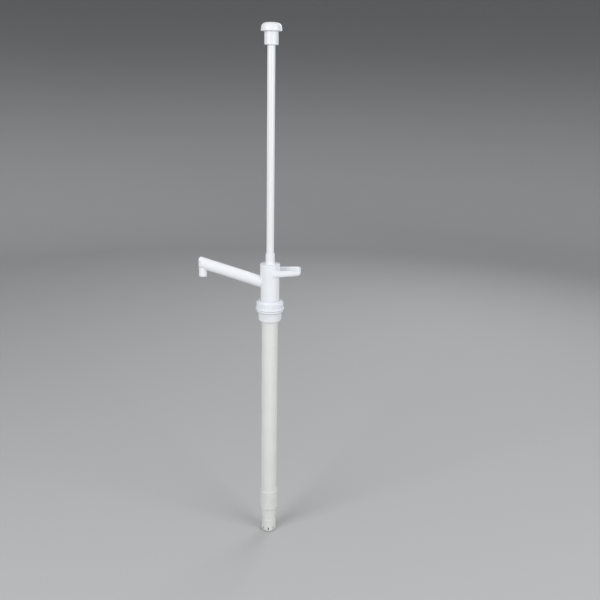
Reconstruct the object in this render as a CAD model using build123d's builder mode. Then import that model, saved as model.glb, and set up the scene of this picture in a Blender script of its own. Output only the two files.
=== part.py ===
from build123d import *

import math
import os

# Hand lift pump for a 2 inch drum bung, in millimetres.
# Origin: on the pump's axis, at the face of the bung. +Z up, spout towards -X, handle towards +X.

# Clearances
run_gap = 0.06  # radial gap of a piece that turns or slides in another
slip_gap = 0.05  # radial gap of a glued or pressed joint
free_gap = 0.3  # gap between pieces that only pass each other
thread_overlap = 0.3  # how deep a thread ridge is rooted in its core

# Bung adaptor
gasket_thick = 2.0
gasket_width = 3.0
flange_overhang = 5.3
flange_thick = 4.0
boss_length = 24.0
boss_core_radius = 28.4
boss_wall = 4.19
boss_thread_depth = 1.3
boss_thread_pitch = 2.209
neck_height = 15.0
neck_wall = 4.79
neck_thread_depth = 1.3
neck_thread_pitch = 4.0
neck_ridge = 0.5  # width of a union thread at its root, as a share of the pitch
neck_crest = 0.22  # and at its crest
nut_turns = 1.5
seal_width = 2.4
seal_thick = 1.6

# Union nut
collar_thick = 4.0
collar_width = 3.85
washer_thick = 2.0
nut_web = 3.5
nut_wall = 3.1
nut_skirt = 3.1
nut_skirt_height = 2.9
nut_foot = 1.9  # slope under the skirt's edge
nut_chamfer = 4.2
nut_hole_gap = 2.05
nut_gap = 0.6
rib_count = 24
rib_width = 4.8
rib_height = 1.0

# Pump body
body_length = 85.0
body_wall = 3.75
spigot_below = 9.0
spigot_inset = 1.25
spigot_above = 22.0
lip_step = 1.15
lip_thick = 3.0
socket_depth = 36.0

# Barrel and rod
barrel_inner = 17.55
barrel_wall = 3.55
barrel_length = 593.0
rod_radius = 9.525
rod_wall = 2.425
stroke = 502.0
stop_gap = 1.0  # left between knob and guide with the rod right down

# Spout and outlet
spout_angle = 17.3
spout_margin = 2.3  # below the cap's lower edge
spout_radius = 14.7
spout_wall = 2.8
spout_reach = 182.45
spout_end_wall = 3.5
spout_corner = 7.0
spout_round = 12.0  # corners of the closed end, seen from above
nozzle_radius = 10.25
nozzle_wall = 2.65
nozzle_length = 18.6
nozzle_inset = 5.0  # how far the nozzle enters the spout's bore

# Head cap with its trough-shaped handle
cap_height = 30.0
cap_top = 7.0
cap_edge = 1.6
grip_reach = 78.8
grip_taper = 1.3
grip_drop = 4.5  # below the cap's lower edge, at the root
grip_rise = 7.5  # of the floor, from root to tip
grip_depth = 20.5
rim_rise = 1.5
grip_corner = 10.0
grip_edge = 9.0
grip_wall = 2.6

# Rod guide
guide_wall = 1.2
guide_flare = 1.6
guide_height = 27.0
guide_lip = 1.0
bush_wall = 0.9
wiper_height = 5.0

# Knob
knob_neck_radius = 16.75
knob_neck_height = 30.5
knob_radius = 25.3
knob_height = 20.2
knob_crown = 3.6
knob_round = 11.5
knob_taper = 1.6  # from the lip up to the shoulder
knob_lip = 1.5
knob_spigot_wall = 2.475
knob_spigot_height = 9.5
knob_pin_radius = 2.0

# Piston
piston_clearance = 0.45
piston_skirt = 23.5
piston_cage_gap = 2.9
piston_cage_height = 20.5
piston_bore = 6.0
piston_inlet = 7.0
piston_ball_gap = 1.36
piston_ball_radius = 7.9375
piston_lift = 5.0
piston_rest_gap = 0.5
piston_seal_height = 4.0
piston_seal_depth = 3.0
piston_boss = 9.5
stud_radius = 5.0
plug_flange = 2.0
plug_length = 14.0

# Foot valve, tail pipe and strainer
foot_wall = 2.9
foot_socket = 24.0
foot_chamber_height = 24.0
foot_ball_gap = 2.975
foot_bore = 7.5
foot_inlet = 5.0
foot_ball_radius = 9.525
foot_lift = 6.0
foot_tail_wall = 3.3
tail_socket = 24.0
tail_inner = 13.3
tail_wall = 3.4
tail_length = 51.0
strainer_wall = 2.75
strainer_sleeve = 18.0
strainer_cage = 15.0
strainer_floor = 3.0
slot_count = 8
slot_width = 3.0
slot_height = 9.0

seat_slope = 0.825  # radius gained per millimetre of height on a valve seat's cone
stop_pin_radius = 1.5

# Radii worked out from the sizes above
adaptor_bore = boss_core_radius - boss_wall
body_radius = adaptor_bore - run_gap
boss_crest = boss_core_radius + boss_thread_depth
gasket_inner = boss_crest + free_gap
flange_radius = boss_crest + flange_overhang
neck_core_radius = adaptor_bore + neck_wall
collar_radius = body_radius + collar_width
nut_inner = neck_core_radius + neck_thread_depth + free_gap
nut_outer = nut_inner + nut_wall
nut_skirt_radius = nut_outer + nut_skirt
nut_hole_radius = body_radius + nut_hole_gap
cap_radius = body_radius + spigot_inset
chamber_radius = body_radius - body_wall
spigot_outer = body_radius - spigot_inset
spout_bore = spout_radius - spout_wall
grip_root_half = cap_radius - 2 * slip_gap
grip_tip_half = grip_root_half - grip_taper
barrel_outer = barrel_inner + barrel_wall
rod_inner = rod_radius - rod_wall
bush_inner = rod_radius + run_gap
bush_outer = bush_inner + bush_wall
guide_radius = bush_outer + slip_gap + guide_wall
guide_spigot = guide_radius - guide_wall / 2
knob_spigot_radius = rod_radius + knob_spigot_wall
lip_radius = barrel_inner - lip_step
piston_radius = barrel_inner - piston_clearance
piston_cage_radius = lip_radius - piston_cage_gap
piston_chamber = piston_ball_radius + piston_ball_gap
seal_back = piston_radius - piston_seal_depth
foot_radius = barrel_outer + foot_wall
foot_chamber = foot_ball_radius + foot_ball_gap
tail_outer = tail_inner + tail_wall
foot_tail_radius = tail_outer + foot_tail_wall
strainer_outer = tail_outer + slip_gap + strainer_wall

# Levels worked out from the sizes above
flange_top = gasket_thick + flange_thick
neck_top = flange_top + neck_height
collar_top = neck_top + collar_thick
washer_top = collar_top + washer_thick
nut_top = washer_top + nut_web
body_low = neck_top - spigot_below
shoulder = body_low + body_length
spigot_top = shoulder + spigot_above
cap_low = shoulder
head_top = cap_low + cap_height
guide_top = head_top + guide_height
lip_low = body_low + socket_depth
knob_low = guide_top + stroke + stop_gap
piston_top = lip_low - piston_rest_gap
piston_low = piston_top - piston_skirt
cage_top = piston_top + piston_cage_height
rod_low = cage_top + plug_flange
barrel_low = lip_low - barrel_length
foot_seat_top = barrel_low - foot_chamber_height
foot_inlet_top = foot_seat_top - (foot_chamber - foot_bore) / seat_slope
tail_top = foot_inlet_top - foot_inlet
tail_low = tail_top - tail_length
strainer_low = tail_low - strainer_cage
spout_lean = math.radians(spout_angle)
spout_climb = math.tan(spout_lean)
spout_half = spout_radius / math.cos(spout_lean)
spout_axis_height = shoulder - spout_margin - spout_half - body_radius * spout_climb
nozzle_axis_x = nozzle_radius + 0.2 - spout_reach
nozzle_entry = spout_axis_height - nozzle_axis_x * spout_climb
nozzle_low = nozzle_entry - spout_half - nozzle_length
grip_root_floor = shoulder - grip_drop
grip_tip_floor = grip_root_floor + grip_rise
grip_root_rim = grip_root_floor + grip_depth
grip_tip_rim = grip_root_rim + rim_rise

os.makedirs("parts", exist_ok=True)


def keep(piece, name):
    """Labels a finished piece and writes it as its own node."""
    piece.label = name
    export_step(piece, f"parts/{name}.step")


def ring(low, high, outer, inner):
    """A plain tube or washer about the pump's axis."""
    with BuildPart() as made:
        with BuildSketch(Plane.XY.offset(low)):
            Circle(outer)
            Circle(inner, mode=Mode.SUBTRACT)
        extrude(amount=high - low)
    return made.part


def disc(low, high, radius):
    """A solid round about the pump's axis."""
    with BuildPart() as made:
        with BuildSketch(Plane.XY.offset(low)):
            Circle(radius)
        extrude(amount=high - low)
    return made.part


def cross_pin(height, radius, half_length):
    """A round pin along X through the pump's axis."""
    with BuildPart() as made:
        with BuildSketch(Plane.YZ):
            with Locations((0, height)):
                Circle(radius)
        extrude(amount=half_length, both=True)
    return made.part


def thread_ridge(root_radius, depth, pitch, low, length, root_width, crest_width):
    """A ridge wound right-handed about the pump's axis. A negative depth points inward."""
    rooted = -math.copysign(thread_overlap, depth)
    with BuildPart() as made:
        with BuildLine() as path:
            Helix(pitch, length, root_radius, center=(0, 0, low))
        with BuildSketch(Plane(origin=(root_radius, 0, low), x_dir=(1, 0, 0), z_dir=(0, -1, 0))):
            with BuildLine():
                Polyline(
                    (rooted, -root_width / 2),
                    (depth, -crest_width / 2),
                    (depth, crest_width / 2),
                    (rooted, root_width / 2),
                    close=True,
                )
            make_face()
        sweep(path=path.line, is_frenet=True)
    return made.part


def ball_centre(seat_low, bore, radius):
    """Height at which a ball rests on a seat cone that opens upward from its bore."""
    slant = math.hypot(1, seat_slope)
    return seat_low + (radius * slant - bore) / seat_slope + slip_gap


# Bung gasket
with BuildPart() as bung_gasket:
    add(ring(0, gasket_thick, gasket_inner + gasket_width, gasket_inner))
keep(bung_gasket.part, "bung_gasket")

# Bung adaptor: threaded boss, flange and union neck round one bore
seal_inner = (adaptor_bore + neck_core_radius - seal_width) / 2
with BuildPart() as bung_adaptor:
    add(disc(-boss_length, gasket_thick, boss_core_radius))
    add(disc(gasket_thick, flange_top, flange_radius))
    flange_edges = bung_adaptor.edges().filter_by(GeomType.CIRCLE)
    flange_edges = flange_edges.filter_by(lambda e: abs(e.radius - flange_radius) < 0.01)
    fillet(flange_edges, flange_thick / 5)
    add(disc(flange_top, neck_top, neck_core_radius))
    chamfer(bung_adaptor.faces().sort_by(Axis.Z)[0].edges(), boss_thread_depth)
    boss_thread_low = -boss_length + boss_thread_pitch + boss_thread_depth
    boss_thread_length = boss_length - gasket_thick - 2 * boss_thread_pitch
    add(thread_ridge(boss_core_radius, boss_thread_depth, boss_thread_pitch, boss_thread_low,
                     boss_thread_length, 0.9 * boss_thread_pitch, 0.25 * boss_thread_pitch))
    add(thread_ridge(neck_core_radius, neck_thread_depth, neck_thread_pitch,
                     flange_top + neck_thread_pitch / 2, neck_height - neck_thread_pitch,
                     neck_ridge * neck_thread_pitch, neck_crest * neck_thread_pitch))
    add(disc(-boss_length, neck_top, adaptor_bore), mode=Mode.SUBTRACT)
    add(ring(neck_top - seal_thick, neck_top, seal_inner + seal_width, seal_inner),
        mode=Mode.SUBTRACT)
keep(bung_adaptor.part, "bung_adaptor")

# Union seal, flat in the neck's recess
with BuildPart() as union_seal:
    add(ring(neck_top - seal_thick, neck_top, seal_inner + seal_width - slip_gap, seal_inner + slip_gap))
keep(union_seal.part, "union_seal")

# Thrust washer between the collar and the nut's web
with BuildPart() as thrust_washer:
    add(ring(collar_top, washer_top, collar_radius, body_radius + free_gap))
keep(thrust_washer.part, "thrust_washer")

# Clamp nut: a revolved shell, ribs and an inner thread that sits midway between the neck's turns
nut_low = flange_top + nut_gap
nut_bore_top = washer_top
with BuildPart() as clamp_nut:
    with BuildSketch(Plane.XZ):
        with BuildLine():
            Polyline(
                (nut_inner, nut_low),
                (nut_skirt_radius - nut_foot, nut_low),
                (nut_skirt_radius, nut_low + nut_foot),
                (nut_skirt_radius, nut_low + nut_skirt_height),
                (nut_outer, nut_low + nut_skirt_height + nut_skirt),
                (nut_outer, nut_top - nut_web - nut_chamfer),
                (nut_outer - nut_chamfer, nut_top),
                (nut_hole_radius, nut_top),
                (nut_hole_radius, nut_bore_top),
                (nut_inner, nut_bore_top),
                close=True,
            )
        make_face()
    revolve(axis=Axis.Z)
    rounded = clamp_nut.edges().filter_by(GeomType.CIRCLE)
    rounded = rounded.filter_by(lambda e: e.radius > nut_hole_radius + 0.1)
    rounded = rounded.filter_by(lambda e: e.arc_center.Z > nut_low + 0.5)
    outside = rounded.filter_by(lambda e: e.radius > nut_inner + 0.1 or e.arc_center.Z > nut_bore_top + 0.1)
    fillet(outside, 0.8)
    rib_low = nut_low + nut_skirt_height
    rib_high = nut_top - nut_chamfer - 0.8
    with BuildSketch(Plane.XY.offset(rib_low)):
        with PolarLocations(nut_outer - 0.4, rib_count):
            Rectangle(2 * (rib_height + 0.4), rib_width)
    extrude(amount=rib_high - rib_low)
    rib_edges = clamp_nut.edges().filter_by(Axis.Z)
    rib_edges = rib_edges.filter_by(lambda e: math.hypot(e.center().X, e.center().Y) > nut_outer + 0.5)
    fillet(rib_edges, rib_height * 0.6)
    add(thread_ridge(nut_inner, -neck_thread_depth, neck_thread_pitch,
                     flange_top + neck_thread_pitch, neck_thread_pitch * nut_turns,
                     neck_ridge * neck_thread_pitch, neck_crest * neck_thread_pitch))
keep(clamp_nut.part, "clamp_nut")

# Pump body: collar, chamber and spout port in one tee
spout_way = (-math.cos(spout_lean), 0, math.sin(spout_lean))
spout_plane = Plane(origin=(0, 0, spout_axis_height), x_dir=(0, 1, 0), z_dir=spout_way)
groove_low = shoulder + spigot_above * 0.6
groove_height = 2.6
groove_depth = 1.5
with BuildPart() as pump_body:
    add(disc(body_low, shoulder, body_radius))
    add(disc(neck_top, collar_top, collar_radius))
    add(disc(shoulder, spigot_top, spigot_outer))
    chamfer(pump_body.faces().sort_by(Axis.Z)[-1].edges(), 0.8)
    add(disc(body_low, lip_low, barrel_outer + slip_gap), mode=Mode.SUBTRACT)
    add(disc(lip_low, lip_low + lip_thick, lip_radius), mode=Mode.SUBTRACT)
    add(disc(lip_low + lip_thick, spigot_top, chamber_radius), mode=Mode.SUBTRACT)
    with BuildSketch(spout_plane):
        Circle(spout_bore)
    extrude(amount=2 * body_radius, mode=Mode.SUBTRACT)
    add(ring(groove_low, groove_low + groove_height, body_radius, spigot_outer - groove_depth),
        mode=Mode.SUBTRACT)
keep(pump_body.part, "pump_body")

# Cap seal in the spigot's groove
with BuildPart() as cap_seal:
    add(ring(groove_low + slip_gap, groove_low + groove_height - slip_gap,
             spigot_outer, spigot_outer - groove_depth + slip_gap))
keep(cap_seal.part, "cap_seal")


def trough(root_half, tip_half, tip_x, root_floor, tip_floor, root_rim, tip_rim, corner, edge):
    """A block that tapers from the pump's axis to its rounded tip, with a rounded keel."""
    with BuildPart() as made:
        with BuildSketch(Plane.XY.offset(root_floor)) as plan:
            with BuildLine():
                Polyline((0, -root_half), (tip_x, -tip_half), (tip_x, tip_half), (0, root_half), close=True)
            make_face()
            fillet(plan.vertices().group_by(Axis.X)[-1], corner)
        extrude(amount=tip_rim - root_floor)
        with BuildSketch(Plane.XZ):
            with BuildLine():
                Polyline((0, root_floor), (tip_x, tip_floor), (tip_x, tip_rim), (0, root_rim), close=True)
            make_face()
        extrude(amount=2 * root_half, both=True, mode=Mode.INTERSECT)
        keel = made.faces().sort_by(Axis.Z)[0].edges()
        fillet(keel.filter_by(lambda e: e.center().X > 1), edge)
    return made.part


# Head cap: handle trough, sleeve over the body's spigot, and top plate
with BuildPart() as grip_hollow:
    above = 5.0
    add(trough(grip_root_half - grip_wall, grip_tip_half - grip_wall, grip_reach - grip_wall,
               grip_root_floor + grip_wall, grip_tip_floor + grip_wall,
               grip_root_rim + above, grip_tip_rim + above,
               grip_corner - grip_wall, grip_edge - grip_wall))
    add(disc(grip_root_floor, grip_tip_rim + above, cap_radius), mode=Mode.SUBTRACT)
with BuildPart() as cap_shell:
    add(disc(cap_low, head_top, cap_radius))
    fillet(cap_shell.edges().group_by(Axis.Z)[-1], cap_edge)
with BuildPart() as head_cap:
    add(trough(grip_root_half, grip_tip_half, grip_reach, grip_root_floor, grip_tip_floor,
               grip_root_rim, grip_tip_rim, grip_corner, grip_edge))
    add(grip_hollow.part, mode=Mode.SUBTRACT)
    rim = head_cap.faces().filter_by(lambda f: f.normal_at().Z > 0.99).sort_by(Axis.Z)[-1]
    fillet(rim.edges().filter_by(lambda e: e.center().X > cap_radius + 1), grip_wall * 0.4)
    add(cap_shell.part)
    add(disc(grip_root_floor, cap_low, body_radius + slip_gap), mode=Mode.SUBTRACT)
    add(disc(cap_low, head_top - cap_top, spigot_outer + slip_gap), mode=Mode.SUBTRACT)
    add(disc(cap_low, head_top, guide_spigot + slip_gap), mode=Mode.SUBTRACT)
keep(head_cap.part, "head_cap")

# Spout: a tube with a saddle at the body and a closed, upright end
with BuildPart() as spout_hollow:
    with BuildSketch(spout_plane):
        Circle(spout_bore)
    extrude(amount=1.3 * spout_reach)
    split(bisect_by=Plane(origin=(spout_end_wall - spout_reach, 0, 0), z_dir=(1, 0, 0)), keep=Keep.TOP)
end_top = spout_axis_height + spout_reach * spout_climb + spout_half
with BuildPart() as spout_tube:
    with BuildSketch(spout_plane):
        Circle(spout_radius)
    extrude(amount=1.3 * spout_reach)
    with BuildSketch(Plane.XZ) as end_profile:
        with BuildLine():
            Polyline(
                (0, 0),
                (-spout_reach, 0),
                (-spout_reach, end_top),
                (0, end_top - spout_reach * spout_climb),
                close=True,
            )
        make_face()
        fillet(end_profile.vertices().sort_by(Axis.Y)[-1], spout_corner)
    extrude(amount=2 * spout_radius, both=True, mode=Mode.INTERSECT)
    with BuildSketch(Plane.XY) as end_plan:
        with Locations((-spout_reach / 2, 0)):
            Rectangle(spout_reach, 2 * spout_radius + 1)
        fillet(end_plan.vertices().group_by(Axis.X)[0], spout_round)
    extrude(amount=end_top, mode=Mode.INTERSECT)
    add(spout_hollow.part, mode=Mode.SUBTRACT)
    add(disc(body_low, shoulder + cap_height, body_radius), mode=Mode.SUBTRACT)
    with BuildSketch(Plane.XY.offset(nozzle_low)):
        with Locations((nozzle_axis_x, 0)):
            Circle(nozzle_radius - nozzle_wall / 2 + slip_gap)
    extrude(amount=nozzle_entry - nozzle_low, mode=Mode.SUBTRACT)
keep(spout_tube.part, "spout_tube")

# Outlet nozzle: its full-width part is saddle-cut to the spout, its spigot enters the bore
spigot_radius = nozzle_radius - nozzle_wall / 2
bore_floor = nozzle_entry - spout_bore / math.cos(spout_lean)
with BuildPart() as outlet_nozzle:
    with BuildSketch(Plane.XY.offset(nozzle_low)):
        with Locations((nozzle_axis_x, 0)):
            Circle(nozzle_radius)
    extrude(amount=nozzle_entry - nozzle_low)
    lower_edge = outlet_nozzle.faces().sort_by(Axis.Z)[0].edges()
    fillet(lower_edge, 0.7)
    with BuildSketch(spout_plane):
        Circle(spout_radius)
    extrude(amount=1.3 * spout_reach, mode=Mode.SUBTRACT)
    with BuildSketch(Plane.XY.offset(nozzle_low + 2)):
        with Locations((nozzle_axis_x, 0)):
            Circle(spigot_radius)
    extrude(amount=bore_floor + nozzle_inset - nozzle_low - 2)
    with BuildSketch(Plane.XY.offset(nozzle_low)):
        with Locations((nozzle_axis_x, 0)):
            Circle(nozzle_radius - nozzle_wall)
    extrude(amount=bore_floor + nozzle_inset - nozzle_low, mode=Mode.SUBTRACT)
keep(outlet_nozzle.part, "outlet_nozzle")

# Barrel tube
with BuildPart() as barrel_tube:
    add(ring(barrel_low, lip_low, barrel_outer, barrel_inner))
keep(barrel_tube.part, "barrel_tube")

# Rod guide: flared foot, sleeve and lip over the wiper
guide_low = head_top - cap_top
with BuildPart() as rod_guide:
    with BuildSketch(Plane.XZ):
        with BuildLine():
            Polyline(
                (bush_outer + slip_gap, guide_low),
                (guide_spigot, guide_low),
                (guide_spigot, head_top),
                (guide_radius + guide_flare, head_top),
                (guide_radius + guide_flare, head_top + 0.8),
                (guide_radius, head_top + 0.8 + 2 * guide_flare),
                (guide_radius, guide_top),
                (rod_radius + free_gap, guide_top),
                (rod_radius + free_gap, guide_top - guide_lip),
                (bush_outer + slip_gap, guide_top - guide_lip),
                close=True,
            )
        make_face()
    revolve(axis=Axis.Z)
    top_rim = rod_guide.edges().filter_by(GeomType.CIRCLE).group_by(Axis.Z)[-1]
    fillet(top_rim.sort_by(lambda e: e.radius)[-1], guide_lip * 0.7)
keep(rod_guide.part, "rod_guide")

# Rod bush and wiper in the guide
wiper_low = guide_top - guide_lip - wiper_height
with BuildPart() as rod_bush:
    add(ring(guide_low, wiper_low, bush_outer, bush_inner))
keep(rod_bush.part, "rod_bush")
with BuildPart() as rod_wiper:
    add(ring(wiper_low, guide_top - guide_lip, bush_outer, bush_inner))
keep(rod_wiper.part, "rod_wiper")

# Rod tube
knob_joint = knob_low + knob_neck_height
rod_top = knob_joint + knob_spigot_height / 2
pin_height = knob_low + knob_neck_height / 2
with BuildPart() as rod_tube:
    add(ring(rod_low, rod_top, rod_radius, rod_inner))
    add(cross_pin(pin_height, knob_pin_radius + slip_gap, rod_radius + 1), mode=Mode.SUBTRACT)
keep(rod_tube.part, "rod_tube")

# Knob neck with its spigot for the cap
with BuildPart() as knob_neck:
    add(disc(knob_low, knob_joint, knob_neck_radius))
    fillet(knob_neck.edges().filter_by(GeomType.CIRCLE).group_by(Axis.Z)[0], 1.2)
    add(disc(knob_joint, knob_joint + knob_spigot_height, knob_spigot_radius))
    add(disc(knob_low, rod_top, rod_radius + slip_gap), mode=Mode.SUBTRACT)
    add(cross_pin(pin_height, knob_pin_radius + slip_gap, knob_neck_radius + 1), mode=Mode.SUBTRACT)
keep(knob_neck.part, "knob_neck")

# Knob pin
with BuildPart() as knob_pin:
    add(cross_pin(pin_height, knob_pin_radius, knob_neck_radius - 0.6))
keep(knob_pin.part, "knob_pin")

# Knob cap: a low dome with round shoulders
knob_top = knob_joint + knob_height
knob_shoulder = knob_radius - knob_taper
crown_arc = (knob_shoulder**2 + knob_crown**2) / (2 * knob_crown)
crown_middle = knob_top - crown_arc + math.sqrt(crown_arc**2 - knob_shoulder**2 / 4)
with BuildPart() as knob_cap:
    with BuildSketch(Plane.XZ) as knob_profile:
        with BuildLine():
            Polyline(
                (0, knob_top),
                (0, knob_joint),
                (knob_radius - knob_lip, knob_joint),
                (knob_radius, knob_joint + knob_lip),
                (knob_shoulder, knob_top - knob_crown),
            )
            ThreePointArc(
                (knob_shoulder, knob_top - knob_crown), (knob_shoulder / 2, crown_middle), (0, knob_top)
            )
        make_face()
        fillet(knob_profile.vertices().group_by(Axis.Y)[-2], knob_round)
    revolve(axis=Axis.Z)
    add(disc(knob_joint, knob_joint + knob_spigot_height + slip_gap, knob_spigot_radius + slip_gap),
        mode=Mode.SUBTRACT)
keep(knob_cap.part, "knob_cap")

# Rod plug: flange on the piston, plug in the rod and stud in the piston's boss
with BuildPart() as rod_plug:
    add(disc(cage_top, rod_low, rod_radius))
    add(disc(rod_low, rod_low + plug_length, rod_inner - slip_gap))
    chamfer(rod_plug.faces().sort_by(Axis.Z)[-1].edges(), 1.0)
    add(disc(cage_top - piston_boss + 1, cage_top, stud_radius))
keep(rod_plug.part, "rod_plug")

# Piston body: skirt with two seal grooves, valve seat, and a windowed cage round the ball
seal_lows = [piston_low + piston_skirt * 0.2, piston_low + piston_skirt * 0.6]
seat_low = piston_low + piston_inlet
seat_top = seat_low + (piston_chamber - piston_bore) / seat_slope
chamber_top = cage_top - piston_boss
piston_ball_height = ball_centre(seat_low, piston_bore, piston_ball_radius)
piston_pin_height = piston_ball_height + piston_ball_radius + piston_lift + free_gap + stop_pin_radius
window_low = piston_top + 1.0
with BuildPart() as piston_body:
    add(disc(piston_low, piston_top, piston_radius))
    add(disc(piston_top, cage_top, piston_cage_radius))
    for low in seal_lows:
        add(ring(low, low + piston_seal_height, piston_radius + 1, seal_back), mode=Mode.SUBTRACT)
    with BuildSketch(Plane.XZ):
        with BuildLine():
            Polyline(
                (0, piston_low),
                (piston_bore, piston_low),
                (piston_bore, seat_low),
                (piston_chamber, seat_top),
                (piston_chamber, chamber_top),
                (0, chamber_top),
                close=True,
            )
        make_face()
    revolve(axis=Axis.Z, mode=Mode.SUBTRACT)
    add(disc(chamber_top, cage_top, stud_radius + slip_gap), mode=Mode.SUBTRACT)
    with BuildSketch(Plane.XY.offset(window_low)):
        with PolarLocations(piston_cage_radius, 4, start_angle=45):
            Rectangle(2 * (piston_cage_radius - piston_chamber) + 2, piston_chamber)
    extrude(amount=chamber_top - window_low, mode=Mode.SUBTRACT)
    add(cross_pin(piston_pin_height, stop_pin_radius + slip_gap, piston_cage_radius + 1),
        mode=Mode.SUBTRACT)
keep(piston_body.part, "piston_body")

# Piston seals
for name, low in zip(["piston_seal_lower", "piston_seal_upper"], seal_lows):
    with BuildPart() as piston_seal:
        add(ring(low + slip_gap, low + piston_seal_height - slip_gap,
                 barrel_inner - run_gap, seal_back + slip_gap))
        rims = piston_seal.edges().filter_by(GeomType.CIRCLE)
        fillet(rims.sort_by(lambda e: e.radius)[-2:], 0.6)
    keep(piston_seal.part, name)

# Piston ball and its stop pin
with BuildPart() as piston_ball:
    with Locations((0, 0, piston_ball_height)):
        Sphere(piston_ball_radius)
keep(piston_ball.part, "piston_ball")
with BuildPart() as piston_stop_pin:
    add(cross_pin(piston_pin_height, stop_pin_radius, piston_cage_radius - 0.3))
keep(piston_stop_pin.part, "piston_stop_pin")

# Foot valve body: barrel socket above, seat and chamber, tail socket below
foot_top = barrel_low + foot_socket
foot_low = tail_top - tail_socket
foot_ball_height = ball_centre(foot_inlet_top, foot_bore, foot_ball_radius)
foot_pin_height = foot_ball_height + foot_ball_radius + foot_lift + free_gap + stop_pin_radius
neck_drop = foot_radius - foot_tail_radius
with BuildPart() as foot_valve_body:
    with BuildSketch(Plane.XZ):
        with BuildLine():
            Polyline(
                (barrel_outer + slip_gap, foot_top),
                (foot_radius - 0.8, foot_top),
                (foot_radius, foot_top - 0.8),
                (foot_radius, tail_top + neck_drop),
                (foot_tail_radius, tail_top),
                (foot_tail_radius, foot_low),
                (tail_outer + slip_gap, foot_low),
                (tail_outer + slip_gap, tail_top),
                (foot_bore, tail_top),
                (foot_bore, foot_inlet_top),
                (foot_chamber, foot_seat_top),
                (foot_chamber, barrel_low),
                (barrel_outer + slip_gap, barrel_low),
                close=True,
            )
        make_face()
    revolve(axis=Axis.Z)
    add(cross_pin(foot_pin_height, stop_pin_radius + slip_gap, foot_radius + 1), mode=Mode.SUBTRACT)
keep(foot_valve_body.part, "foot_valve_body")

# Foot ball and its stop pin
with BuildPart() as foot_ball:
    with Locations((0, 0, foot_ball_height)):
        Sphere(foot_ball_radius)
keep(foot_ball.part, "foot_ball")
with BuildPart() as foot_stop_pin:
    add(cross_pin(foot_pin_height, stop_pin_radius, foot_radius - 0.5))
keep(foot_stop_pin.part, "foot_stop_pin")

# Suction tube
with BuildPart() as suction_tube:
    add(ring(tail_low, tail_top, tail_outer, tail_inner))
keep(suction_tube.part, "suction_tube")

# Strainer: a cup with slots round its cage, pushed on the tail pipe
with BuildPart() as strainer:
    add(disc(strainer_low, tail_low + strainer_sleeve, strainer_outer))
    chamfer(strainer.faces().sort_by(Axis.Z)[0].edges(), 1.5)
    add(disc(tail_low, tail_low + strainer_sleeve, tail_outer + slip_gap), mode=Mode.SUBTRACT)
    add(disc(strainer_low + strainer_floor, tail_low, tail_inner), mode=Mode.SUBTRACT)
    with BuildSketch(Plane.XY.offset(strainer_low + strainer_floor)):
        with PolarLocations(strainer_outer, slot_count):
            Rectangle(2 * (strainer_outer - tail_inner) + 2, slot_width)
    extrude(amount=slot_height, mode=Mode.SUBTRACT)
keep(strainer.part, "strainer")
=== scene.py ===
import bpy
import math
from mathutils import Matrix, Vector


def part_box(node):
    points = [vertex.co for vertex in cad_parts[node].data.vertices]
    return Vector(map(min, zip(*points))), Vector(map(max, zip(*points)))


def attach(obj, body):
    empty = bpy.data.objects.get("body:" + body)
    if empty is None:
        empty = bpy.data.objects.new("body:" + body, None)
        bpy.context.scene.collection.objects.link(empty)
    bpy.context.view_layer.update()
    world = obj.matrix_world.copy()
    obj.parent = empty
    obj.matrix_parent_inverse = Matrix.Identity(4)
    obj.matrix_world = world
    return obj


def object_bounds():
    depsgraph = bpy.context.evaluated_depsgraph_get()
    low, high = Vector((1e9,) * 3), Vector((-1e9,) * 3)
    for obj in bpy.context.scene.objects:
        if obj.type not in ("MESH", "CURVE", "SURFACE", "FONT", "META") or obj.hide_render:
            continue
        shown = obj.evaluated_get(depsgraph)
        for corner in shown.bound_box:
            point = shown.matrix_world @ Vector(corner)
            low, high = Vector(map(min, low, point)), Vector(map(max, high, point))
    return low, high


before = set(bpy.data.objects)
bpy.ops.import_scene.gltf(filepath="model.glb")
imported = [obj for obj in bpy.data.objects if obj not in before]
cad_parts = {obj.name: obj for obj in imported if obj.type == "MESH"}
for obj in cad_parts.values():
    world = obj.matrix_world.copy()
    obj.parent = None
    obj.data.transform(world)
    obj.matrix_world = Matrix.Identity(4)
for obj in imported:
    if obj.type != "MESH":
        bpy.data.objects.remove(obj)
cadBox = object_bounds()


# Small helpers
def selectNone():
    bpy.ops.object.select_all(action="DESELECT")


def selectOnly(piece):
    selectNone()
    piece.select_set(True)
    bpy.context.view_layer.objects.active = piece


def addNode(tree, kind, place, **values):
    node = tree.nodes.new(kind)
    node.location = place
    for name, value in values.items():
        if hasattr(node, name):
            setattr(node, name, value)
        else:
            node.inputs[name].default_value = value
    return node


def setRange(node, side, low, high):
    node.inputs[f"{side} Min"].default_value = low
    node.inputs[f"{side} Max"].default_value = high


def newGroup(name, inputs, outputs):
    group = bpy.data.node_groups.new(name, "ShaderNodeTree")
    for label, kind, value in inputs:
        socket = group.interface.new_socket(name=label, in_out="INPUT", socket_type=kind)
        if value is not None:
            socket.default_value = value
    for label, kind in outputs:
        group.interface.new_socket(name=label, in_out="OUTPUT", socket_type=kind)
    return group, addNode(group, "NodeGroupInput", (-900, 0)), addNode(group, "NodeGroupOutput", (700, 0))


def placeGroup(tree, group, place, **values):
    node = tree.nodes.new("ShaderNodeGroup")
    node.node_tree = group
    node.location = place
    for name, value in values.items():
        node.inputs[name].default_value = value
    return node


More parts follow.
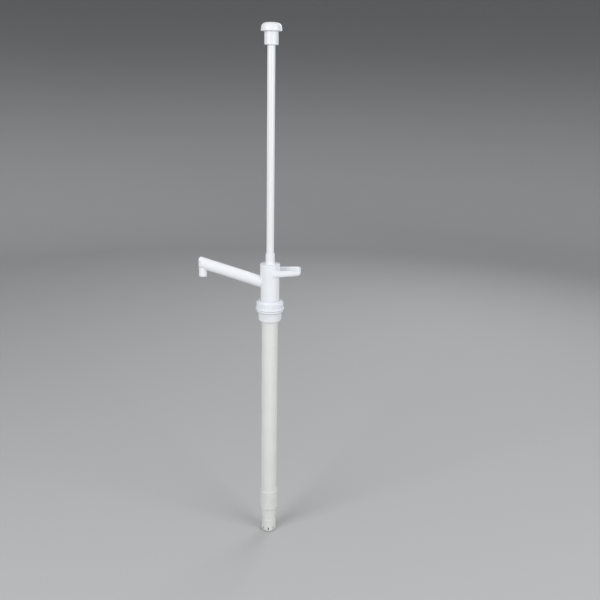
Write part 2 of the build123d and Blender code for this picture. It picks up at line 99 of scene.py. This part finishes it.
# Shared node groups
# painted highlight: a lighter colour laid along edges, found where the bevel normal turns away from the
# true normal, broken into patches by noise
def makePaintedEdgeHighlight():
    group, given, out = newGroup(
        "edgeWear",
        [("Width", "NodeSocketFloat", 0.0008), ("Breakup", "NodeSocketFloat", 260.0),
         ("Amount", "NodeSocketFloat", 0.5)],
        [("Mask", "NodeSocketFloat")],
    )
    bevel = addNode(group, "ShaderNodeBevel", (-650, 200), samples=6)
    shape = addNode(group, "ShaderNodeNewGeometry", (-650, 0))
    facing = addNode(group, "ShaderNodeVectorMath", (-430, 120), operation="DOT_PRODUCT")
    edge = addNode(group, "ShaderNodeMapRange", (-230, 120))
    setRange(edge, "From", 0.995, 0.86)
    place = addNode(group, "ShaderNodeTexCoord", (-650, -220))
    spots = addNode(group, "ShaderNodeTexNoise", (-430, -220), Detail=3.0)
    gate = addNode(group, "ShaderNodeMapRange", (-230, -220))
    setRange(gate, "From", 0.38, 0.62)
    both = addNode(group, "ShaderNodeMath", (60, 0), operation="MULTIPLY")
    scaled = addNode(group, "ShaderNodeMath", (260, 0), operation="MULTIPLY")
    link = group.links.new
    link(given.outputs["Width"], bevel.inputs["Radius"])
    link(bevel.outputs["Normal"], facing.inputs[0])
    link(shape.outputs["Normal"], facing.inputs[1])
    link(facing.outputs["Value"], edge.inputs["Value"])
    link(place.outputs["Object"], spots.inputs["Vector"])
    link(given.outputs["Breakup"], spots.inputs["Scale"])
    link(spots.outputs["Fac"], gate.inputs["Value"])
    link(edge.outputs["Result"], both.inputs[0])
    link(gate.outputs["Result"], both.inputs[1])
    link(both.outputs["Value"], scaled.inputs[0])
    link(given.outputs["Amount"], scaled.inputs[1])
    link(scaled.outputs["Value"], out.inputs["Mask"])
    return group


def makeMouldGrain():
    group, given, out = newGroup(
        "mouldGrain",
        [("Scale", "NodeSocketFloat", 700.0), ("Ripple", "NodeSocketFloat", 40.0),
         ("Ripple Share", "NodeSocketFloat", 0.5)],
        [("Height", "NodeSocketFloat"), ("Tone", "NodeSocketFloat")],
    )
    place = addNode(group, "ShaderNodeTexCoord", (-700, 0))
    grain = addNode(group, "ShaderNodeTexNoise", (-450, 200), Detail=2.0)
    ripple = addNode(group, "ShaderNodeTexNoise", (-450, -100), Detail=2.0)
    share = addNode(group, "ShaderNodeMath", (-200, -100), operation="MULTIPLY")
    height = addNode(group, "ShaderNodeMath", (50, 100), operation="ADD")
    link = group.links.new
    link(place.outputs["Object"], grain.inputs["Vector"])
    link(place.outputs["Object"], ripple.inputs["Vector"])
    link(given.outputs["Scale"], grain.inputs["Scale"])
    link(given.outputs["Ripple"], ripple.inputs["Scale"])
    link(ripple.outputs["Fac"], share.inputs[0])
    link(given.outputs["Ripple Share"], share.inputs[1])
    link(grain.outputs["Fac"], height.inputs[0])
    link(share.outputs["Value"], height.inputs[1])
    link(height.outputs["Value"], out.inputs["Height"])
    link(ripple.outputs["Fac"], out.inputs["Tone"])
    return group


def makeDrawLines():
    group, given, out = newGroup(
        "drawLines",
        [("Scale", "NodeSocketFloat", 900.0), ("Stretch", "NodeSocketFloat", 0.01)],
        [("Height", "NodeSocketFloat")],
    )
    place = addNode(group, "ShaderNodeTexCoord", (-700, 0))
    squeeze = addNode(group, "ShaderNodeCombineXYZ", (-700, -240), X=1.0, Y=1.0)
    stretched = addNode(group, "ShaderNodeVectorMath", (-450, 0), operation="MULTIPLY")
    lines = addNode(group, "ShaderNodeTexNoise", (-200, 0), Detail=3.0)
    link = group.links.new
    link(given.outputs["Stretch"], squeeze.inputs["Z"])
    link(place.outputs["Object"], stretched.inputs[0])
    link(squeeze.outputs["Vector"], stretched.inputs[1])
    link(stretched.outputs["Vector"], lines.inputs["Vector"])
    link(given.outputs["Scale"], lines.inputs["Scale"])
    link(lines.outputs["Fac"], out.inputs["Height"])
    return group


def makeHandling():
    group, given, out = newGroup(
        "handling",
        [("Smudge Scale", "NodeSocketFloat", 22.0), ("Scratch Scale", "NodeSocketFloat", 160.0)],
        [("Smudge", "NodeSocketFloat"), ("Scratch", "NodeSocketFloat")],
    )
    place = addNode(group, "ShaderNodeTexCoord", (-700, 0))
    cloud = addNode(group, "ShaderNodeTexNoise", (-450, 200), Detail=5.0, Roughness=0.6)
    cloudGate = addNode(group, "ShaderNodeMapRange", (-200, 200))
    setRange(cloudGate, "From", 0.45, 0.75)
    bent = addNode(group, "ShaderNodeTexNoise", (-450, -150), Detail=1.0, Distortion=1.5)
    thin = addNode(group, "ShaderNodeMath", (-200, -150), operation="SUBTRACT")
    thin.inputs[1].default_value = 0.5
    near = addNode(group, "ShaderNodeMath", (0, -150), operation="ABSOLUTE")
    hair = addNode(group, "ShaderNodeMapRange", (200, -150))
    setRange(hair, "From", 0.012, 0.0)
    link = group.links.new
    link(place.outputs["Object"], cloud.inputs["Vector"])
    link(place.outputs["Object"], bent.inputs["Vector"])
    link(given.outputs["Smudge Scale"], cloud.inputs["Scale"])
    link(given.outputs["Scratch Scale"], bent.inputs["Scale"])
    link(cloud.outputs["Fac"], cloudGate.inputs["Value"])
    link(bent.outputs["Fac"], thin.inputs[0])
    link(thin.outputs["Value"], near.inputs[0])
    link(near.outputs["Value"], hair.inputs["Value"])
    link(cloudGate.outputs["Result"], out.inputs["Smudge"])
    link(hair.outputs["Result"], out.inputs["Scratch"])
    return group


def makeMouldMarks():
    # a fine ridge where the mould's halves met, and the round scar of the gate on the pump's axis
    group, given, out = newGroup(
        "mouldMarks",
        [("Line Width", "NodeSocketFloat", 0.0003), ("Gate Radius", "NodeSocketFloat", 0.003)],
        [("Height", "NodeSocketFloat")],
    )
    place = addNode(group, "ShaderNodeTexCoord", (-900, 0))
    axes = addNode(group, "ShaderNodeSeparateXYZ", (-700, 100))
    side = addNode(group, "ShaderNodeMath", (-500, 200), operation="ABSOLUTE")
    line = addNode(group, "ShaderNodeMapRange", (-250, 200), interpolation_type="SMOOTHSTEP")
    setRange(line, "To", 1.0, 0.0)
    flat = addNode(group, "ShaderNodeVectorMath", (-700, -150), operation="MULTIPLY")
    flat.inputs[1].default_value = (1, 1, 0)
    reach = addNode(group, "ShaderNodeVectorMath", (-500, -150), operation="LENGTH")
    fromRing = addNode(group, "ShaderNodeMath", (-300, -150), operation="SUBTRACT")
    offRing = addNode(group, "ShaderNodeMath", (-120, -150), operation="ABSOLUTE")
    ring = addNode(group, "ShaderNodeMapRange", (80, -150), interpolation_type="SMOOTHSTEP")
    setRange(ring, "To", 1.0, 0.0)
    height = addNode(group, "ShaderNodeMath", (400, 0), operation="SUBTRACT")
    link = group.links.new
    link(place.outputs["Object"], axes.inputs["Vector"])
    link(axes.outputs["Y"], side.inputs[0])
    link(side.outputs["Value"], line.inputs["Value"])
    link(given.outputs["Line Width"], line.inputs["From Max"])
    link(place.outputs["Object"], flat.inputs[0])
    link(flat.outputs["Vector"], reach.inputs[0])
    link(reach.outputs["Value"], fromRing.inputs[0])
    link(given.outputs["Gate Radius"], fromRing.inputs[1])
    link(fromRing.outputs["Value"], offRing.inputs[0])
    link(offRing.outputs["Value"], ring.inputs["Value"])
    link(given.outputs["Line Width"], ring.inputs["From Max"])
    link(line.outputs["Result"], height.inputs[0])
    link(ring.outputs["Result"], height.inputs[1])
    link(height.outputs["Value"], out.inputs["Height"])
    return group


edgeWear = makePaintedEdgeHighlight()
mouldGrain = makeMouldGrain()
drawLines = makeDrawLines()
handling = makeHandling()
mouldMarks = makeMouldMarks()
print("node groups ready")


# Materials
def mixColour(tree, place, base, other):
    mix = addNode(tree, "ShaderNodeMix", place, data_type="RGBA")
    mix.inputs["A"].default_value = (*base, 1)
    mix.inputs["B"].default_value = (*other, 1)
    return mix


def plasticMaterial(name, look):
    material = bpy.data.materials.new(name)
    material.use_nodes = True
    tree = material.node_tree
    tree.nodes.clear()
    link = tree.links.new
    out = addNode(tree, "ShaderNodeOutputMaterial", (900, 0))
    shader = addNode(tree, "ShaderNodeBsdfPrincipled", (600, 0))
    link(shader.outputs["BSDF"], out.inputs["Surface"])
    shader.inputs["Metallic"].default_value = look.get("metallic", 0.0)
    grain = placeGroup(tree, mouldGrain, (-700, 100), Scale=look["grainScale"], Ripple=look["rippleScale"],
                       **{"Ripple Share": look["rippleShare"]})
    marks = placeGroup(tree, handling, (-700, -200), **{"Smudge Scale": look["smudgeScale"]})
    # painted highlight: the edge mask mixes the lighter edge colour into the base colour
    edgeHighlightMask = placeGroup(tree, edgeWear, (-700, -450), Width=look["edgeWidth"], Amount=look["edgeAmount"])
    toneMix = mixColour(tree, (-350, 250), look["colour"], look["tone"])
    dirtMix = mixColour(tree, (-100, 200), look["colour"], look["smudge"])
    edgeMix = mixColour(tree, (150, 200), look["colour"], look["edge"])
    toneAmount = addNode(tree, "ShaderNodeMath", (-530, 300), operation="MULTIPLY")
    toneAmount.inputs[1].default_value = look["toneAmount"]
    dirtAmount = addNode(tree, "ShaderNodeMath", (-350, -50), operation="MULTIPLY")
    dirtAmount.inputs[1].default_value = look["smudgeAmount"]
    link(grain.outputs["Tone"], toneAmount.inputs[0])
    link(toneAmount.outputs["Value"], toneMix.inputs["Factor"])
    link(marks.outputs["Smudge"], dirtAmount.inputs[0])
    link(toneMix.outputs["Result"], dirtMix.inputs["A"])
    link(dirtAmount.outputs["Value"], dirtMix.inputs["Factor"])
    link(dirtMix.outputs["Result"], edgeMix.inputs["A"])
    link(edgeHighlightMask.outputs["Mask"], edgeMix.inputs["Factor"])
    link(edgeMix.outputs["Result"], shader.inputs["Base Color"])
    gloss = addNode(tree, "ShaderNodeMapRange", (-100, -120))
    setRange(gloss, "To", look["roughness"][0], look["roughness"][1])
    scuffed = addNode(tree, "ShaderNodeMath", (150, -120), operation="ADD", use_clamp=True)
    scuffAmount = addNode(tree, "ShaderNodeMath", (-100, -350), operation="MULTIPLY")
    scuffAmount.inputs[1].default_value = look["scratchAmount"]
    link(marks.outputs["Smudge"], gloss.inputs["Value"])
    link(marks.outputs["Scratch"], scuffAmount.inputs[0])
    link(gloss.outputs["Result"], scuffed.inputs[0])
    link(scuffAmount.outputs["Value"], scuffed.inputs[1])
    link(scuffed.outputs["Value"], shader.inputs["Roughness"])
    bump = addNode(tree, "ShaderNodeBump", (350, -300))
    bump.inputs["Strength"].default_value = look["bumpStrength"]
    bump.inputs["Distance"].default_value = look["bumpDepth"]
    if "drawScale" in look:
        lines = placeGroup(tree, drawLines, (-350, -550), Scale=look["drawScale"])
        link(lines.outputs["Height"], bump.inputs["Height"])
    elif "markHeight" in look:
        scars = placeGroup(tree, mouldMarks, (-350, -550))
        raised = addNode(tree, "ShaderNodeMath", (-100, -550), operation="MULTIPLY_ADD")
        raised.inputs[1].default_value = look["markHeight"]
        link(scars.outputs["Height"], raised.inputs[0])
        link(grain.outputs["Height"], raised.inputs[2])
        link(raised.outputs["Value"], bump.inputs["Height"])
    else:
        link(grain.outputs["Height"], bump.inputs["Height"])
    link(bump.outputs["Normal"], shader.inputs["Normal"])
    return material


mouldedWhite = {
    "colour": (0.85, 0.87, 0.90), "tone": (0.81, 0.835, 0.875), "toneAmount": 0.5,
    "smudge": (0.74, 0.74, 0.73), "smudgeAmount": 0.10, "smudgeScale": 16.0,
    # the edge colour is a painted highlight along edges, lighter than the base colour
    "edge": (0.93, 0.94, 0.95), "edgeWidth": 0.0009, "edgeAmount": 0.5,
    "grainScale": 900.0, "rippleScale": 38.0, "rippleShare": 0.25,
    "roughness": (0.30, 0.40), "scratchAmount": 0.08,
    "bumpStrength": 0.25, "bumpDepth": 0.00006,
}
looks = {
    "mouldedWhite": {**mouldedWhite, "markHeight": 1.2},
    "nutWhite": {**mouldedWhite, "colour": (0.83, 0.86, 0.91), "smudge": (0.66, 0.66, 0.66),
                 "smudgeAmount": 0.18, "smudgeScale": 40.0, "roughness": (0.32, 0.45)},
    "rodWhite": {**mouldedWhite, "colour": (0.86, 0.88, 0.89), "tone": (0.82, 0.84, 0.855),
                 "drawScale": 700.0, "roughness": (0.22, 0.33), "bumpStrength": 0.3,
                 "bumpDepth": 0.00008, "smudgeAmount": 0.08},
    "naturalTube": {**mouldedWhite, "colour": (0.78, 0.79, 0.77), "tone": (0.73, 0.75, 0.73),
                    "smudge": (0.60, 0.58, 0.50), "smudgeAmount": 0.22, "drawScale": 500.0,
                    "roughness": (0.30, 0.45)},
    "naturalMould": {**mouldedWhite, "colour": (0.76, 0.77, 0.75), "tone": (0.71, 0.72, 0.70),
                     "smudge": (0.58, 0.56, 0.49), "smudgeAmount": 0.25},
    "acetal": {**mouldedWhite, "colour": (0.88, 0.88, 0.85), "tone": (0.84, 0.84, 0.81),
               "drawScale": 900.0, "roughness": (0.20, 0.32)},
    "sealRubber": {**mouldedWhite, "colour": (0.03, 0.03, 0.032), "tone": (0.05, 0.05, 0.05),
                   "smudge": (0.10, 0.10, 0.10), "smudgeAmount": 0.3, "edge": (0.09, 0.09, 0.09),
                   "roughness": (0.55, 0.75), "bumpStrength": 0.4},
    "gasketRubber": {**mouldedWhite, "colour": (0.72, 0.73, 0.74), "tone": (0.66, 0.67, 0.68),
                     "smudge": (0.50, 0.50, 0.49), "smudgeAmount": 0.3, "edge": (0.80, 0.80, 0.80),
                     "roughness": (0.55, 0.72), "bumpStrength": 0.4},
    "pinSteel": {**mouldedWhite, "colour": (0.58, 0.58, 0.60), "tone": (0.50, 0.50, 0.52),
                 "smudge": (0.38, 0.38, 0.38), "smudgeAmount": 0.3, "edge": (0.75, 0.75, 0.76),
                 "metallic": 1.0, "roughness": (0.25, 0.42), "drawScale": 1500.0},
    "ballSteel": {**mouldedWhite, "colour": (0.66, 0.66, 0.68), "tone": (0.60, 0.60, 0.62),
                  "smudge": (0.45, 0.45, 0.45), "smudgeAmount": 0.2, "edge": (0.8, 0.8, 0.8),
                  "metallic": 1.0, "roughness": (0.08, 0.2), "bumpStrength": 0.05},
}
materials = {name: plasticMaterial(name, look) for name, look in looks.items()}

finishes = {
    "mouldedWhite": ["bung_adaptor", "pump_body", "head_cap", "spout_tube", "outlet_nozzle",
                     "rod_guide", "knob_neck", "knob_cap"],
    "nutWhite": ["clamp_nut"],
    "rodWhite": ["rod_tube"],
    "naturalTube": ["barrel_tube", "suction_tube"],
    "naturalMould": ["foot_valve_body", "strainer"],
    "acetal": ["thrust_washer", "rod_bush", "rod_plug", "piston_body"],
    "sealRubber": ["union_seal", "cap_seal", "rod_wiper", "piston_seal_lower", "piston_seal_upper"],
    "gasketRubber": ["bung_gasket"],
    "pinSteel": ["knob_pin", "piston_stop_pin", "foot_stop_pin"],
    "ballSteel": ["piston_ball", "foot_ball"],
}
for finish, names in finishes.items():
    for name in names:
        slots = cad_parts[name].data.materials
        slots.clear()
        slots.append(materials[finish])
print("materials ready:", len(materials))


# Bead of solvent weld round the spout's root

spoutBead = {
    "slope": 17.3,  # degrees that the spout climbs
    "thickness": 0.0008,
    "rings": 160,
    "sides": 14,
}


def makeSpoutBead():
    low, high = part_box("spout_tube")
    radius = (high.y - low.y) / 2
    slope = math.radians(spoutBead["slope"])
    way = Vector((-math.cos(slope), 0, math.sin(slope)))
    across = Vector((0, 1, 0))
    over = way.cross(across)
    # the round body that the spout's saddle fits, and the height where the spout's line meets the pump's
    bodyRadius = math.hypot(high.x, radius)
    axisHeight = low.z + radius / math.cos(slope) - bodyRadius * math.tan(slope)
    selectNone()
    bpy.ops.mesh.primitive_torus_add(
        major_radius=radius, minor_radius=spoutBead["thickness"],
        major_segments=spoutBead["rings"], minor_segments=spoutBead["sides"],
    )
    bead = bpy.context.object
    bead.name = "spoutBead"
    bpy.ops.object.shade_smooth()
    for corner in bead.data.vertices:
        flat = corner.co.xy
        side = radius * flat.x / flat.length
        lift = radius * flat.y / flat.length
        # how far along the spout this part of the ring meets the round body
        reach = (-math.sqrt(bodyRadius**2 - side**2) - lift * over.x) / way.x
        foot = flat.x * across + flat.y * over + (reach + corner.co.z) * way
        corner.co = foot + Vector((0, 0, axisHeight))
    bead.data.materials.append(materials["mouldedWhite"])
    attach(bead, "pump")


makeSpoutBead()
print("weld bead ready")


# Camera, floor and lights

view = {
    "place": (0.078, -1.875, 0.5902),  # metres from the bung's face
    "pitchDown": 16.6,
    "roll": 1.02,  # the pump leans a little in its bung
    "lens": 45.3,
    "sensor": 36.0,
}
cameraData = bpy.data.cameras.new("camera")
cameraData.lens = view["lens"]
cameraData.sensor_width = view["sensor"]
camera = bpy.data.objects.new("camera", cameraData)
camera.location = view["place"]
tilt = Matrix.Rotation(math.radians(90 - view["pitchDown"]), 3, "X")
camera.rotation_euler = (tilt @ Matrix.Rotation(math.radians(view["roll"]), 3, "Z")).to_euler()
bpy.context.scene.collection.objects.link(camera)
bpy.context.scene.camera = camera

studio = {
    "floorDrop": 0.002,
    "floorColour": (0.50, 0.50, 0.50),
    # the wall colour is painted shade: the sweep's colour darkens towards it with height
    "shadedWallColour": (0.20, 0.20, 0.205),
    "shadeFadeFrom": 0.05,
    "shadeFadeTo": 1.9,
    "floorRadius": 3.6,
    "curve": 1.4,
    "curveSteps": 24,
    "turnSteps": 128,
    "wallHeight": 4.5,
}


def makeFloor():
    # a round sweep, so that the background is the same from every side
    level = cadBox[0].z - studio["floorDrop"]
    outline = [(0.0, level), (studio["floorRadius"], level)]
    steps = studio["curveSteps"]
    for step in range(1, steps + 1):
        angle = math.radians(90 * step / steps)
        outline.append((
            studio["floorRadius"] + studio["curve"] * math.sin(angle),
            level + studio["curve"] * (1 - math.cos(angle)),
        ))
    outline.append((studio["floorRadius"] + studio["curve"], level + studio["wallHeight"]))
    mesh = bpy.data.meshes.new("floor")
    mesh.from_pydata([(out, 0, z) for out, z in outline], [(i, i + 1) for i in range(len(outline) - 1)], [])
    floor = bpy.data.objects.new("floor", mesh)
    bpy.context.scene.collection.objects.link(floor)
    selectOnly(floor)
    turned = floor.modifiers.new("turned", "SCREW")
    turned.steps = turned.render_steps = studio["turnSteps"]
    turned.use_merge_vertices = True
    turned.use_smooth_shade = True
    bpy.ops.object.modifier_apply(modifier="turned")
    material = bpy.data.materials.new("floorPaperAndPaintedShade")
    material.use_nodes = True
    shader = material.node_tree.nodes["Principled BSDF"]
    # pale on the floor, darker up the sweep: painted shade that deepens with height, so that the white
    # object stands out
    place = addNode(material.node_tree, "ShaderNodeTexCoord", (-900, 0))
    axes = addNode(material.node_tree, "ShaderNodeSeparateXYZ", (-700, 0))
    shadeFade = addNode(material.node_tree, "ShaderNodeMapRange", (-500, 0), interpolation_type="SMOOTHSTEP")
    setRange(shadeFade, "From", level + studio["shadeFadeFrom"], level + studio["shadeFadeTo"])
    paperAndShade = mixColour(material.node_tree, (-250, 0), studio["floorColour"], studio["shadedWallColour"])
    link = material.node_tree.links.new
    link(place.outputs["Object"], axes.inputs["Vector"])
    link(axes.outputs["Z"], shadeFade.inputs["Value"])
    link(shadeFade.outputs["Result"], paperAndShade.inputs["Factor"])
    link(paperAndShade.outputs["Result"], shader.inputs["Base Color"])
    shader.inputs["Roughness"].default_value = 0.9
    shader.inputs["Specular IOR Level"].default_value = 0.2
    floor.data.materials.append(material)


makeFloor()

lamps = {
    "key": {"place": (-2.1, -2.3, 1.3), "aim": (0, 0, 0.0), "size": 1.8, "power": 65},
    "fill": {"place": (2.4, -1.9, 0.9), "aim": (0, 0, 0.0), "size": 2.0, "power": 54},
    "back": {"place": (1.2, 2.3, 1.6), "aim": (0, 0, 0.0), "size": 1.6, "power": 20},
}
for name, lamp in lamps.items():
    light = bpy.data.lights.new(name, "AREA")
    light.energy = lamp["power"]
    light.size = lamp["size"]
    holder = bpy.data.objects.new(name, light)
    holder.location = lamp["place"]
    away = Vector(lamp["place"]) - Vector(lamp["aim"])
    holder.rotation_euler = away.to_track_quat("Z", "Y").to_euler()
    holder.visible_camera = False
    bpy.context.scene.collection.objects.link(holder)

world = bpy.data.worlds.new("studioAir")
world.use_nodes = True
world.node_tree.nodes["Background"].inputs["Color"].default_value = (0.95, 0.97, 1.0, 1)
world.node_tree.nodes["Background"].inputs["Strength"].default_value = 0.66
bpy.context.scene.world = world
bpy.context.scene.view_settings.view_transform = "Standard"
print("camera, floor and lights ready")
